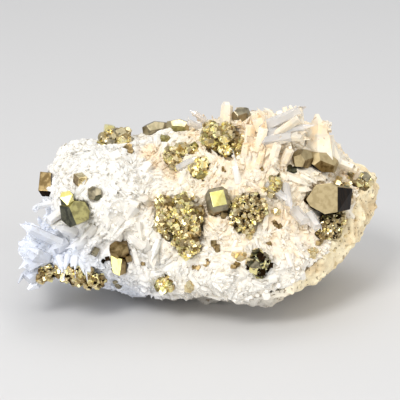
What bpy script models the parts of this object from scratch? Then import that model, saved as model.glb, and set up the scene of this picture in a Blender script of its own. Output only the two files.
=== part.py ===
"""Pyrite with quartz cluster: a hand-sized piece of wall rock with a crust of milky quartz
crystals on it, and pyrite crystals and granular pyrite set in the quartz.

Run with: blender --background --python part.py
Metres, +Z up. The origin lies on the small flat spot that the specimen rests on, near its
middle. +X runs along the length and -Y is the side that it is shown from.
"""

import math
import random

import bmesh
import bpy
from mathutils import Euler, Matrix, Vector, noise
from mathutils.bvhtree import BVHTree

MM = 0.001
GOLDEN_ANGLE = math.pi * (3 - math.sqrt(5))

# Driving sizes in millimetres
CLEARANCE = 0.3  # gap between two solids that touch in the real specimen
VOXEL = 1.3  # grain of the stone's own surface
STONE_FACES = 1240  # faces left on the stone before it is parted
LOOSE_CRYSTALS = 42  # quartz crystals beside the ones placed one by one
RELIEF = 1.5  # height of the larger lumps on the stone
MELT = 0.01  # points closer than this are one point
ROOTED = 1.3  # depth that a quartz crystal starts below the stone's skin
CRYSTAL_WIDTHS = (2.0, 3.6)  # widths of the loose quartz crystals
CRYSTAL_SLENDERNESS = (0.55, 1.5)  # their lengths as a share of their widths
CRYSTAL_SPACING = 2.6  # least distance between the roots of two of them
CRYSTAL_SWAY = 0.42  # how far they lean at random from their neighbours' way
CRYSTAL_TOP = 22.5  # highest place of their tips in the view
MASS_SKIN = 0.28  # fineness of the granular masses before their facets are made

# The sheet between the quartz and the wall rock: its height at the middle of the front, its
# rise along X and Y, the height and the length of its waves, the depth over which they grow
# towards the back, and the block that is cut along it
PARTING_HEIGHT = 7.7
PARTING_FRONT = -20.0
PARTING_RISE = (0.45, 0.35)
PARTING_WAVE = (2.2, 9.0)
PARTING_BEHIND = 12.0
BLOCK_HALF = (66.0, 42.0)
BLOCK_GRID = (18, 12)
BLOCK_FLOOR = -30.0
BLOCK_LEAST = -15.0

# The place that the specimen is shown from, looking down at it by 20 degrees, and the middle of
# that view. Placing by eye is done on the sheet that stands there square to the view.
EYE = Vector((-4.2, -422.9, 181.3)) * MM
AIM = Vector((-4.2, 0.0, 27.4)) * MM
RIGHT = Vector((1.0, 0.0, 0.0))
TOWARD = (EYE - AIM).normalized()
UP = TOWARD.cross(RIGHT)

# Cross sections of the whole stone along X: place, front, back, underside and top
STATIONS = (
    (-46.5, -7.0, 9.0, 26.0, 37.5),
    (-44.0, -13.0, 14.0, 13.0, 41.5),
    (-40.0, -17.0, 19.0, 7.0, 42.0),
    (-33.0, -21.0, 23.0, 3.4, 43.0),
    (-25.0, -24.0, 25.5, -1.2, 44.3),
    (-16.0, -26.5, 27.5, 1.6, 45.5),
    (-7.0, -28.0, 29.0, 1.2, 47.0),
    (2.0, -28.5, 29.5, -0.3, 49.0),
    (11.0, -28.0, 29.5, -0.2, 49.8),
    (20.0, -26.5, 29.0, -0.4, 49.8),
    (28.0, -23.5, 28.0, 4.8, 47.0),
    (34.5, -18.5, 26.5, 9.0, 41.0),
    (40.0, -12.0, 25.0, 15.5, 35.5),
    (43.8, -3.0, 22.5, 22.0, 33.0),
    (46.2, 5.0, 19.0, 24.5, 29.5),
)

# One cross section, its front at -1 and back at 1, its underside at 0 and top at 1
SECTION = (
    (0.05, 0.0),
    (-0.42, 0.06),
    (-0.74, 0.15),
    (-0.96, 0.28),
    (-0.93, 0.48),
    (-0.74, 0.68),
    (-0.44, 0.86),
    (-0.08, 0.97),
    (0.3, 1.0),
    (0.66, 0.9),
    (0.92, 0.68),
    (0.98, 0.42),
    (0.8, 0.16),
    (0.45, 0.03),
)

# Lumps of the stone: middle and half sizes
LUMPS = (
    ((-44.0, -9.0, 16.2), (9.5, 12.0, 6.2)),
    ((-37.0, -12.0, 15.0), (10.0, 13.0, 6.4)),
    ((-31.0, -8.0, 29.0), (13.5, 15.0, 13.5)),
    ((8.0, -17.0, 16.0), (22.0, 13.0, 11.0)),
    ((12.0, 2.0, 40.0), (20.0, 16.0, 11.5)),
    ((-12.0, 14.0, 20.0), (22.0, 17.0, 17.0)),
    ((25.0, 12.0, 26.0), (17.0, 17.0, 17.0)),
    ((2.0, -1.0, 6.0), (24.0, 12.0, 7.6)),
)

# Hollows in the shown side: place across and up the view, half sizes across, up and in
HOLLOWS = (
    ((-9.0, 9.5), (13.0, 3.6, 2.6), -38.0),
    ((38.5, -3.5), (5.0, 8.0, 3.0), -30.0),
    ((-47.5, -4.5), (6.5, 3.0, 6.0), -20.0),
    ((-30.5, -8.0), (8.0, 3.0, 1.8), -25.0),
    ((22.0, -2.0), (8.0, 4.0, 2.0), 10.0),
)

# Quartz crystals placed by eye: root across and up the view, reach right, up and toward the
# viewer, width, and height of the point as a share of the width
QUARTZ = (
    ((7.2, 22.0), (0.3, 5.2, 0.6), 3.7, 0.22),
    ((1.8, 21.5), (-4.6, 3.6, 1.0), 2.4, 0.7),
    ((-0.6, 20.5), (-4.0, 2.0, 2.0), 2.2, 0.8),
    ((17.0, 21.0), (-1.6, 4.6, 1.0), 4.4, 0.7),
    ((18.0, 20.5), (11.0, 5.0, 2.0), 3.6, 0.5),
    ((18.0, 18.5), (13.0, 1.8, 3.0), 3.4, 0.8),
    ((17.5, 16.5), (10.0, 1.5, 4.0), 3.2, 0.8),
    ((33.0, 13.5), (0.6, 9.2, 0.5), 6.2, 0.25),
    ((36.0, 11.5), (7.0, -2.6, 1.0), 2.4, 0.3),
    ((38.0, 10.0), (7.4, -2.2, 0.0), 2.2, 0.9),
    ((-40.0, -11.5), (-9.6, 4.6, 3.0), 4.3, 0.75),
    ((-44.0, -16.0), (-3.2, 2.6, 5.5), 4.6, 0.7),
    ((-42.0, -19.0), (-7.0, 0.5, 2.0), 3.8, 0.8),
    ((-38.5, -17.5), (1.4, -5.0, 3.5), 2.4, 0.9),
    ((-34.8, -17.5), (0.8, -4.4, 3.4), 2.2, 0.9),
    ((-31.5, -18.5), (1.0, -4.6, 3.0), 2.0, 0.9),
    ((10.0, 6.8), (-1.2, 6.8, 3.0), 2.3, 1.6),
    ((-42.0, -1.0), (-4.2, -1.0, 3.0), 2.0, 0.7),
    ((-39.0, -3.5), (-4.4, -3.2, 3.4), 3.0, 0.7),
    ((20.0, 3.5), (4.6, -4.0, 4.0), 2.8, 0.8),
    ((24.0, 3.0), (1.0, -5.5, 4.5), 2.6, 0.8),
    ((27.0, -3.5), (3.4, -3.6, 5.0), 3.4, 0.8),
    ((31.0, -5.0), (2.4, -3.8, 4.6), 3.0, 0.8),
    ((-15.0, 0.0), (-1.0, 1.2, 2.2), 3.4, 0.3),
    ((-19.0, -4.5), (-2.4, -4.5, 2.6), 4.2, 0.7),
    ((-22.0, -7.5), (-3.0, -4.6, 2.2), 3.8, 0.8),
    ((-17.0, -8.5), (0.6, -5.0, 2.4), 3.4, 0.8),
    ((-13.0, -16.0), (0.0, -2.8, 3.2), 3.8, 0.7),
    ((-17.0, -12.0), (-3.0, 2.0, 3.0), 3.2, 0.8),
    ((14.0, 17.0), (1.6, -3.4, 2.6), 2.8, 0.8),
    ((24.0, 12.0), (1.4, 3.6, 3.0), 2.8, 0.8),
    ((-4.9, 9.4), (4.2, 2.2, 1.6), 2.7, 0.35),
)

# Single pyrite crystals: name, place across and up the view, half sizes, turn in degrees,
# form, and how far the middle stands out of the stone as a share of the half size. Crystals of
# one name have grown together.
CRYSTALS = (
    ("pyrite_left_edge", (-42.4, 4.2), (1.0, 1.0, 1.0), (0, 0, 0), "slab", 1.2),
    ("pyrite_left_pair", (-33.9, -3.0), (1.0, 1.0, 1.0), (0, 0, 0), "wedge", 2.2),
    ("pyrite_left_pair", (-33.9, -3.0), (1.0, 1.0, 1.0), (0, 0, 0), "small_wedge", 2.2),
    ("pyrite_left_brown", (-33.2, 5.6), (1.3, 1.3, 1.5), (30, 30, 10), "cube", 0.3),
    ("pyrite_left_dark", (-29.2, 1.7), (1.6, 1.6, 1.6), (20, 35, 15), "pyritohedron", 0.3),
    ("pyrite_striated", (-23.1, -17.8), (1.0, 1.0, 1.0), (0, 0, 0), "column", 1.6),
    ("pyrite_striated", (-22.3, -13.7), (2.4, 2.0, 1.9), (35, 20, 25), "pyritohedron", 0.4),
    ("pyrite_yellow", (5.0, -0.6), (3.0, 3.3, 3.0), (-14, 6, 12), "bevelled_cube", 0.3),
    ("pyrite_top_lozenge", (-12.4, 20.2), (3.2, 1.8, 1.5), (10, 8, 10), "pyritohedron", 0.35),
    ("pyrite_top_lozenge_right", (-5.8, 20.6), (3.0, 1.6, 1.2), (5, -6, -5), "pyritohedron", 0.25),
    ("pyrite_right_large", (33.4, 0.0), (1.0, 1.0, 1.0), (0, 0, 0), "hexagon", 2.4),
    ("pyrite_right_ridge", (33.0, 10.6), (3.9, 2.3, 2.2), (0, 25, -20), "pyritohedron", 0.9),
    ("pyrite_right_ridge", (28.4, 11.4), (2.6, 2.2, 2.0), (15, 40, 20), "pyritohedron", 0.1),
    ("pyrite_diamond", (16.4, -17.8), (2.2, 2.2, 2.1), (45, 10, 45), "cube", 0.15),
    ("pyrite_top_dull", (11.4, 23.6), (2.2, 1.8, 1.5), (0, 10, 20), "pyritohedron", 0.1),
)

# Crystals with a form of their own: their corners, right, up and toward the viewer
OWN_FORMS = {
    "slab": (
        (-1.3, 3.5, 0.0), (1.8, 3.2, 1.0), (-1.8, -1.7, 0.6), (1.8, -1.9, 1.6), (-0.9, -3.3, -0.8),
        (1.4, -3.5, 0.0), (-1.3, 2.8, -4.0), (1.8, 2.8, -4.0), (-0.9, -2.5, -4.0), (1.8, -2.5, -4.0),
    ),
    "wedge": (
        (-4.3, 2.2, -1.0), (-1.4, 1.8, 2.4), (0.0, 3.5, 1.63), (2.5, 3.3, 0.66), (3.9, 0.8, 0.4),
        (3.6, -1.4, 0.79), (0.5, -2.8, 2.2), (-1.4, -3.6, -0.6), (-3.9, -1.7, -2.7), (-2.5, 2.5, -4.8),
        (2.5, 2.8, -4.8), (2.5, -2.2, -4.8), (-2.5, -2.2, -4.8),
    ),
    "small_wedge": (
        (-4.0, 4.3, 1.1), (-3.7, 5.7, 0.0), (-1.6, 6.2, -0.1), (-0.6, 5.1, 0.9), (-0.2, 3.3, 0.7),
        (-1.9, 2.2, 1.7), (-3.7, 2.4, 0.3), (-3.7, 5.1, -3.6), (-0.7, 5.3, -3.6), (-0.7, 2.0, -4.0),
        (-3.7, 2.0, -4.0),
    ),
    "column": (
        (-1.7, 2.7, 0.8), (1.4, 1.8, 1.4), (0.8, -2.6, 1.6), (-1.0, -1.8, 1.2), (2.7, 1.6, -1.5),
        (2.3, -2.1, -1.5), (-1.7, 2.5, -4.0), (2.5, 1.6, -4.0), (2.1, -2.2, -4.0), (-1.0, -1.8, -4.0),
    ),
    "hexagon": (
        (-5.0, -0.1, 0.75), (-2.5, 3.8, 1.12), (1.5, 4.3, 1.72), (3.3, 3.2, 2.0), (3.3, -3.5, 2.0),
        (-0.1, -4.1, 1.48), (-4.0, -1.9, 0.9), (7.9, 2.8, -4.2), (7.2, -2.8, -4.2), (-3.5, 2.0, -4.6),
        (-3.5, -2.4, -4.6), (1.0, 4.0, -5.2), (1.0, -4.0, -5.2), (6.6, 2.4, -5.2), (6.0, -2.4, -5.2),
    ),
}
BEVELLED = 0.62  # half width of a bevelled cube's square faces as a share of its own

# Granular pyrite: name, place across and up the view, half sizes along, across and out, turn in
# the view in degrees, number of grains and their size. Masses of one name have grown together.
GRANULAR = (
    ("pyrite_dome_front", (-5.8, -4.8), (6.5, 5.2, 4.2), -34, 20, 2.7),
    ("pyrite_dome_front", (-2.9, -11.6), (3.0, 4.0, 2.6), 20, 10, 2.2),
    ("pyrite_dome_top", (6.2, 17.4), (6.4, 3.3, 3.6), -22, 16, 2.3),
    ("pyrite_dome_top_left", (-23.4, 18.9), (4.5, 2.8, 3.0), 8, 12, 2.1),
    ("pyrite_patch_middle", (13.6, -2.4), (5.0, 3.3, 2.2), 8, 15, 2.1),
    ("pyrite_patch_middle", (12.8, -6.8), (2.4, 2.6, 1.8), 0, 7, 1.8),
    ("pyrite_ring_left", (-7.2, 11.7), (2.7, 1.6, 1.8), -62, 8, 1.8),
    ("pyrite_ring_left", (-3.9, 14.2), (3.6, 1.2, 1.6), -4, 7, 1.5),
    ("pyrite_ring_right", (-0.2, 9.0), (2.7, 1.5, 1.7), 80, 8, 1.8),
    ("pyrite_patch_right", (36.4, -6.8), (4.8, 2.2, 2.4), 50, 12, 2.2),
    ("pyrite_tip_right", (44.4, 6.0), (3.1, 1.8, 1.8), -8, 8, 1.8),
    ("pyrite_right_gold", (20.6, 3.4), (2.4, 1.4, 1.4), 60, 6, 1.5),
    ("pyrite_low_left", (-42.6, -20.3), (3.6, 1.8, 2.0), 10, 9, 1.7),
    ("pyrite_low_left_right", (-30.8, -22.0), (3.9, 2.2, 2.2), -25, 9, 1.9),
    ("pyrite_low_left_right", (-35.2, -20.9), (2.8, 2.0, 1.8), 6, 7, 1.7),
    ("pyrite_front_low", (-10.0, -23.4), (1.9, 1.8, 1.5), 0, 6, 1.5),
)

# Pyrite out of the view: name, a point outside the stone, the way from there to it, half
# sizes, number of grains and their size
HIDDEN = (
    ("pyrite_back_large", (-14.0, 60.0, 34.0), (0.0, -1.0, -0.15), (6.0, 4.6, 3.4), 14, 2.4),
    ("pyrite_back_right", (21.0, 60.0, 30.0), (0.0, -1.0, -0.1), (3.6, 3.0, 2.4), 9, 2.1),
    ("pyrite_under_left", (-37.0, -4.0, -30.0), (0.0, 0.0, 1.0), (5.5, 4.4, 2.2), 12, 2.1),
    ("pyrite_under_right", (30.0, 6.0, -30.0), (0.0, 0.0, 1.0), (4.4, 3.4, 2.0), 10, 2.0),
)


def mm(*values):
    """A point or a size given in millimetres, in metres."""
    return Vector(values) * MM


def new_object(name, bm):
    """Turns a bmesh into an object of that name and links it to the scene."""
    mesh = bpy.data.meshes.new(name)
    bm.to_mesh(mesh)
    bm.free()
    obj = bpy.data.objects.new(name, mesh)
    bpy.context.scene.collection.objects.link(obj)
    return obj


def apply_modifiers(obj):
    """Replaces an object's mesh by the one that its modifiers make."""
    graph = bpy.context.evaluated_depsgraph_get()
    mesh = bpy.data.meshes.new_from_object(obj.evaluated_get(graph))
    obj.modifiers.clear()
    obj.data = mesh


def boolean(obj, cutter, operation):
    """Joins, cuts or intersects an object with a closed solid, which is used up."""
    step = obj.modifiers.new("Boolean", "BOOLEAN")
    step.operation = operation
    step.object = cutter
    step.solver = "EXACT"
    apply_modifiers(obj)
    bpy.data.objects.remove(cutter)


def one_skin(obj, voxel, faces):
    """Makes one skin of solids that cross, then brings it down to a number of flat facets."""
    skin = obj.modifiers.new("Skin", "REMESH")
    skin.mode = "VOXEL"
    skin.voxel_size = voxel * MM
    apply_modifiers(obj)
    if faces:
        facets = obj.modifiers.new("Facets", "DECIMATE")
        facets.ratio = faces / (2 * len(obj.data.polygons))
        facets.use_collapse_triangulate = True
        apply_modifiers(obj)


def keep_largest_body(obj):
    """Drops the crumbs that a cut has left loose, and the slivers along its edges."""
    bm = bmesh.new()
    bm.from_mesh(obj.data)
    bmesh.ops.remove_doubles(bm, verts=bm.verts, dist=MELT * MM)
    left = set(bm.verts)
    largest = set()
    while left:
        found = {left.pop()}
        edge = list(found)
        while edge:
            vert = edge.pop()
            for link in vert.link_edges:
                other = link.other_vert(vert)
                if other not in found:
                    found.add(other)
                    edge.append(other)
        left -= found
        if len(found) > len(largest):
            largest = found
    crumbs = [v for v in bm.verts if v not in largest]
    bmesh.ops.delete(bm, geom=crumbs, context="VERTS")
    bmesh.ops.recalc_face_normals(bm, faces=bm.faces)
    bm.to_mesh(obj.data)
    bm.free()


def view_point(across, up):
    """A point on the upright sheet of the view, in millimetres from its middle."""
    return AIM + (RIGHT * across + UP * up) * MM


def seat(tree, start, way):
    """The point of the stone that is met from a place, or the nearest one beside that line."""
    place, normal, _, _ = tree.ray_cast(start, way)
    if place is not None:
        return place, normal
    reach = (AIM - start).dot(way)
    tries = []
    for i in range(-50, 51):
        point = start + way * (reach + i * MM)
        near, normal, _, gap = tree.find_nearest(point)
        tries.append((gap, i, near, normal))
    gap, _, near, normal = min(tries, key=lambda t: (t[0], t[1]))
    return near, normal


def seen(tree, across, up):
    """The point of the stone that is seen at a place of the view."""
    way = (view_point(across, up) - EYE).normalized()
    return seat(tree, EYE, way)


def stone_form():
    """The lofted form of the whole stone, from its cross sections."""
    bm = bmesh.new()
    rings = []
    for x, front, back, underside, top in STATIONS:
        middle, half = (front + back) / 2, (back - front) / 2
        ring = [
            bm.verts.new(mm(x, middle + half * y, underside + (top - underside) * z))
            for y, z in SECTION
        ]
        rings.append(ring)
    for one, other in zip(rings, rings[1:]):
        for i in range(len(SECTION)):
            j = (i + 1) % len(SECTION)
            bm.faces.new((one[i], one[j], other[j], other[i]))
    bm.faces.new(reversed(rings[0]))
    bm.faces.new(rings[-1])
    bmesh.ops.recalc_face_normals(bm, faces=bm.faces)
    stone = new_object("stone", bm)
    smooth = stone.modifiers.new("Smooth", "SUBSURF")
    smooth.levels = smooth.render_levels = 1
    apply_modifiers(stone)
    return stone


def add_lumps(stone):
    """Adds the rounded lumps to the stone's form and makes one skin of all of it."""
    bm = bmesh.new()
    bm.from_mesh(stone.data)
    for middle, half in LUMPS:
        place = Matrix.Translation(mm(*middle)) @ Matrix.Diagonal(mm(*half).to_4d())
        bmesh.ops.create_icosphere(bm, subdivisions=3, radius=1.0, matrix=place)
    bm.to_mesh(stone.data)
    bm.free()
    one_skin(stone, VOXEL, 0)


def hollow_depth(point):
    """How far a point of the shown side is pushed in by the hollows, in millimetres."""
    way = (point - EYE).normalized()
    reach = (AIM - EYE).dot(TOWARD) / way.dot(TOWARD)
    on_sheet = EYE + way * reach - AIM
    across, up = on_sheet.dot(RIGHT) / MM, on_sheet.dot(UP) / MM
    depth = 0.0
    for (u, v), (a, b, inward), turn in HOLLOWS:
        c, s = math.cos(math.radians(turn)), math.sin(math.radians(turn))
        along = ((across - u) * c + (up - v) * s) / a
        aside = (-(across - u) * s + (up - v) * c) / b
        depth += inward * math.exp(-(along * along + aside * aside) * 1.2)
    return depth


def add_relief(stone):
    """Lumps, pits and hollows of the stone's skin, then flat facets in place of the smooth skin."""
    bm = bmesh.new()
    bm.from_mesh(stone.data)
    bm.normal_update()
    moves = []
    for vert in bm.verts:
        p = vert.co / MM
        lump = noise.noise(p / 11.0) * RELIEF * 1.3 + noise.noise(p / 4.5) * RELIEF
        lump += (0.35 - abs(noise.noise(p / 6.0 + Vector((7.0, 0.0, 3.0))))) * RELIEF
        if vert.normal.dot(TOWARD) > 0.05:
            lump -= hollow_depth(vert.co) * min(1.0, vert.normal.dot(TOWARD) * 3)
        moves.append(vert.normal * lump * MM)
    for vert, move in zip(bm.verts, moves):
        vert.co += move
    bm.to_mesh(stone.data)
    bm.free()
    one_skin(stone, VOXEL, STONE_FACES)
    rest_flat(stone)


def rest_flat(stone):
    """Takes the stone off flat at the height of the spot that it rests on."""
    bm = bmesh.new()
    bm.from_mesh(stone.data)
    everything = bm.verts[:] + bm.edges[:] + bm.faces[:]
    cut = bmesh.ops.bisect_plane(
        bm, geom=everything, plane_co=(0, 0, 0), plane_no=(0, 0, 1), clear_inner=True
    )
    rim = [e for e in cut["geom_cut"] if isinstance(e, bmesh.types.BMEdge)]
    bmesh.ops.contextual_create(bm, geom=rim)
    bmesh.ops.triangulate(bm, faces=bm.faces)
    bmesh.ops.recalc_face_normals(bm, faces=bm.faces)
    bm.to_mesh(stone.data)
    bm.free()


def frame_along(way, twist=0.0):
    """A turn that puts Z along a direction, with a twist about it."""
    return way.to_track_quat("Z", "Y").to_matrix() @ Matrix.Rotation(twist, 3, "Z")


def quartz_crystal(root, reach, width, point, rng):
    """One six-sided crystal with a six-sided point, not quite regular."""
    turn = frame_along(reach, rng.uniform(0, math.pi))
    length = reach.length
    half = width * MM / 2
    flat = rng.uniform(0.72, 1.0)
    shoulder = max(length * 0.35, length - point * width * MM)
    bm = bmesh.new()
    rings = []
    for height in (0.0, shoulder):
        ring = []
        for i in range(6):
            angle = math.radians(60 * i)
            spread = half * rng.uniform(0.9, 1.08)
            lift = rng.uniform(-0.12, 0.12) * half if height else 0.0
            corner = Vector((math.cos(angle) * spread, math.sin(angle) * spread * flat, height + lift))
            ring.append(root + turn @ corner)
        rings += ring
    tip = Vector((rng.uniform(-0.25, 0.25) * half, rng.uniform(-0.25, 0.25) * half, length))
    add_hull(bm, rings + [root + turn @ tip])
    bmesh.ops.recalc_face_normals(bm, faces=bm.faces)
    return new_object("crystal", bm)


def quartz_crystals(tree, spots):
    """All the quartz crystals that stand on the stone, clear of the pyrite."""
    rng = random.Random(11)
    made = []
    for (u, v), (right, up, toward), width, point in QUARTZ:
        place, _ = seen(tree, u, v)
        reach = (RIGHT * right + UP * up + TOWARD * toward) * MM
        root = place - reach.normalized() * ROOTED * MM
        made.append(quartz_crystal(root, place + reach - root, width, point, rng))
    roots = []
    while len(roots) < LOOSE_CRYSTALS:
        way = Vector((rng.gauss(0, 1), rng.gauss(0, 1), rng.gauss(0, 1))).normalized()
        start = mm(rng.uniform(-44, 42), 0, rng.uniform(14, 34)) - way * 0.1
        place, normal, _, _ = tree.ray_cast(start, way)
        if place is None or normal.z < -0.3 or place.z < parting(place) + 2.5 * MM:
            continue
        width = rng.uniform(*CRYSTAL_WIDTHS)
        if any((place - spot).length < reach + width * MM * 0.8 for spot, reach in spots):
            continue
        if any((place - other).length < CRYSTAL_SPACING * MM for other in roots):
            continue
        outward = (place - mm(place.x / MM * 0.55, 2, 24)).normalized()
        sway = Vector((rng.gauss(0, 1), rng.gauss(0, 1), rng.gauss(0, 1)))
        sway *= CRYSTAL_SWAY
        aim = (normal + outward * 0.5 + sway).normalized()
        if aim.dot(normal) < 0.45:
            continue
        fine = place.x < -22 * MM and place.z > 27 * MM
        length = width * (CRYSTAL_SLENDERNESS[0] if fine else rng.uniform(*CRYSTAL_SLENDERNESS))
        if (place + aim * length * MM - AIM).dot(UP) > CRYSTAL_TOP * MM:
            continue
        root = place - aim * ROOTED * MM
        point = rng.uniform(0.5, 0.9)
        made.append(quartz_crystal(root, aim * (length + ROOTED) * MM, width, point, rng))
        roots.append(place)
    return made


def parting(point):
    """Height of the sheet between the quartz and the wall rock below it."""
    x, y = point.x / MM, point.y / MM
    height = PARTING_HEIGHT + PARTING_RISE[0] * x + PARTING_RISE[1] * (y - PARTING_FRONT)
    wave, length = PARTING_WAVE
    wave *= 1 + max(0.0, y) / PARTING_BEHIND
    height += wave * noise.noise(Vector((x / length, y / length, 0.3)))
    return height * MM


def block_below(gap):
    """A block that fills everything below the parting sheet, less a gap."""
    columns, rows = BLOCK_GRID
    bm = bmesh.new()
    grid = []
    for i in range(columns):
        line = []
        for j in range(rows):
            across, inward = 2 * i / (columns - 1) - 1, 2 * j / (rows - 1) - 1
            place = mm(BLOCK_HALF[0] * across, BLOCK_HALF[1] * inward, 0)
            place.z = max(parting(place), BLOCK_LEAST * MM) + gap * MM
            line.append(bm.verts.new(place))
        grid.append(line)
    for i in range(columns - 1):
        for j in range(rows - 1):
            bm.faces.new((grid[i][j], grid[i + 1][j], grid[i + 1][j + 1], grid[i][j + 1]))
    rim = [e for e in bm.edges if e.is_boundary]
    wall = bmesh.ops.extrude_edge_only(bm, edges=rim)["geom"]
    low = [v for v in wall if isinstance(v, bmesh.types.BMVert)]
    for vert in low:
        vert.co.z = BLOCK_FLOOR * MM
    floor = [e for e in bm.edges if e.is_boundary]
    bmesh.ops.contextual_create(bm, geom=floor)
    bmesh.ops.triangulate(bm, faces=bm.faces)
    bmesh.ops.recalc_face_normals(bm, faces=bm.faces)
    return new_object("below", bm)


def solid_form(form):
    """Corners of a crystal form, most of them about one unit from the middle."""
    if form in OWN_FORMS:
        return [Vector(corner) for corner in OWN_FORMS[form]]
    cube = [Vector((x, y, z)) for x in (-1, 1) for y in (-1, 1) for z in (-1, 1)]
    if form == "cube":
        return cube
    if form == "bevelled_cube":
        k = BEVELLED
        return [Vector((c.x * a, c.y * b, c.z * d)) for c in cube
                for a, b, d in ((1, k, k), (k, 1, k), (k, k, 1))]
    corners = [c * 0.8 for c in cube]
    for a in (-1.2, 1.2):
        for b in (-0.6, 0.6):
            corners += [Vector((0, a, b)), Vector((b, 0, a)), Vector((a, b, 0))]
    return corners


def add_hull(bm, corners):
    """Adds the closed solid with flat faces around some corners to a bmesh."""
    verts = [bm.verts.new(c) for c in corners]
    made = bmesh.ops.convex_hull(bm, input=verts)
    inner = [v for v in made["geom_interior"] if isinstance(v, bmesh.types.BMVert)]
    bmesh.ops.delete(bm, geom=inner, context="VERTS")


def pyrite_crystal(middle, half, turn, form):
    """One pyrite crystal with flat faces."""
    bm = bmesh.new()
    sized = [Vector([c[i] * half[i] for i in range(3)]) * MM for c in solid_form(form)]
    corners = [middle + turn @ corner for corner in sized]
    add_hull(bm, corners)
    bmesh.ops.recalc_face_normals(bm, faces=bm.faces)
    bmesh.ops.dissolve_limit(bm, angle_limit=math.radians(1), verts=bm.verts, edges=bm.edges)
    return new_object("crystal", bm)


def granular_pyrite(middle, half, turn, grains, size, seed):
    """A rounded mass of pyrite, its outer side made of cubes that have grown into each other."""
    rng = random.Random(seed)
    bm = bmesh.new()
    bmesh.ops.create_icosphere(bm, subdivisions=2, radius=1.0)
    for vert in bm.verts:
        spread = 0.9 + 0.22 * noise.noise(vert.co * 1.4 + Vector((seed, 0, 0)))
        vert.co = middle + turn @ (Vector([vert.co[i] * half[i] * spread for i in range(3)]) * MM)
    for i in range(grains):
        angle = i * GOLDEN_ANGLE + rng.uniform(-0.3, 0.3)
        height = 1.0 - (i + 0.5) / grains * 0.95
        ring = math.sqrt(1 - height * height)
        out = Vector((math.cos(angle) * ring, math.sin(angle) * ring, height))
        place = Vector([out[i] * half[i] * 0.86 for i in range(3)])
        grain = size * rng.uniform(0.75, 1.3) / 2
        spin = Euler([rng.uniform(0, math.pi) for _ in range(3)]).to_matrix()
        corners = [
            middle + turn @ ((place + spin @ (c * grain)) * MM) for c in solid_form("cube")
        ]
        add_hull(bm, corners)
    bmesh.ops.recalc_face_normals(bm, faces=bm.faces)
    mass = new_object("mass", bm)
    one_skin(mass, MASS_SKIN, 20 + 8 * grains)
    return mass


def room_ways(obj, turn):
    """The ways in which a pyrite's room is taken off flat: its own flat faces, or all round."""
    if len(obj.data.polygons) <= 12:
        return [face.normal.copy() for face in obj.data.polygons]
    ways = [Vector((0, 0, 1)), Vector((0, 0, -1))]
    for i in range(8):
        angle = math.radians(45 * i)
        aside = Vector((math.cos(angle), math.sin(angle), 0))
        ways.append(aside)
        if i % 2:
            ways.append((aside + Vector((0, 0, -1))).normalized())
    return [turn @ way for way in ways]


def room_for(obj, turn):
    """A closed solid with flat faces that holds a pyrite with the clearance all round it."""
    low, high = box_of(obj)
    middle = (low + high) / 2
    bm = bmesh.new()
    bmesh.ops.create_cube(bm, size=(high - low).length * 3, matrix=Matrix.Translation(middle))
    for way in room_ways(obj, turn):
        reach = max(v.co.dot(way) for v in obj.data.vertices) + CLEARANCE * MM
        everything = bm.verts[:] + bm.edges[:] + bm.faces[:]
        bmesh.ops.bisect_plane(
            bm, geom=everything, plane_co=way * reach, plane_no=way, clear_outer=True
        )
        rim = [e for e in bm.edges if e.is_boundary]
        if rim:
            bmesh.ops.contextual_create(bm, geom=rim)
    bmesh.ops.remove_doubles(bm, verts=bm.verts, dist=MELT * MM)
    bmesh.ops.recalc_face_normals(bm, faces=bm.faces)
    return new_object("room", bm)


def copy_of(obj, name):
    """A copy of an object with a mesh of its own."""
    made = bpy.data.objects.new(name, obj.data.copy())
    bpy.context.scene.collection.objects.link(made)
    return made


def pyrites(tree):
    """Every pyrite crystal and mass, seated on the stone, with its piece's name and its turn."""
    made = []
    for name, (u, v), half, degrees, form, out in CRYSTALS:
        place, normal = seen(tree, u, v)
        facing = (normal + TOWARD).normalized()
        frame = Matrix((RIGHT, UP, TOWARD)).transposed()
        turn = frame @ Euler([math.radians(d) for d in degrees]).to_matrix()
        middle = place + facing * out * min(half) * MM
        made.append((name, pyrite_crystal(middle, half, turn, form), turn))
    for seed, (name, (u, v), half, degrees, grains, size) in enumerate(GRANULAR):
        place, normal = seen(tree, u, v)
        facing = (normal * 0.6 + TOWARD).normalized()
        across = (RIGHT - facing * RIGHT.dot(facing)).normalized()
        frame = Matrix((across, facing.cross(across), facing)).transposed()
        turn = frame @ Matrix.Rotation(math.radians(degrees), 3, "Z")
        middle = place - facing * 0.35 * half[2] * MM
        made.append((name, granular_pyrite(middle, half, turn, grains, size, seed), turn))
    for seed, (name, start, way, half, grains, size) in enumerate(HIDDEN):
        place, normal = seat(tree, mm(*start), Vector(way).normalized())
        turn = frame_along(normal)
        middle = place - normal * 0.35 * half[2] * MM
        made.append((name, granular_pyrite(middle, half, turn, grains, size, seed + 40), turn))
    return made


def grown_together(made):
    """Joins the crystals and masses of one name into one piece each."""
    pieces = {}
    for name, obj, _ in made:
        if name in pieces:
            boolean(pieces[name], obj, "UNION")
        else:
            pieces[name] = obj
            obj.name = name
    return pieces


def box_of(obj):
    """Lowest and highest corner of an object's mesh."""
    points = [v.co for v in obj.data.vertices]
    low = Vector([min(p[i] for p in points) for i in range(3)])
    high = Vector([max(p[i] for p in points) for i in range(3)])
    return low, high


def meet(one, other):
    """Whether the boxes around two objects overlap."""
    low, high = box_of(one)
    low_other, high_other = box_of(other)
    return all(low[i] < high_other[i] and low_other[i] < high[i] for i in range(3))


def cut_rooms(rooms, pieces, stones):
    """Cuts each pyrite's room out of the stones, and out of the pieces that come after its own."""
    order = list(pieces)
    for name, room in rooms:
        later = [pieces[other] for other in order[order.index(name) + 1 :]]
        for body in (*stones, *later):
            if meet(room, body):
                boolean(body, copy_of(room, "room"), "DIFFERENCE")
        bpy.data.objects.remove(room)


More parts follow.
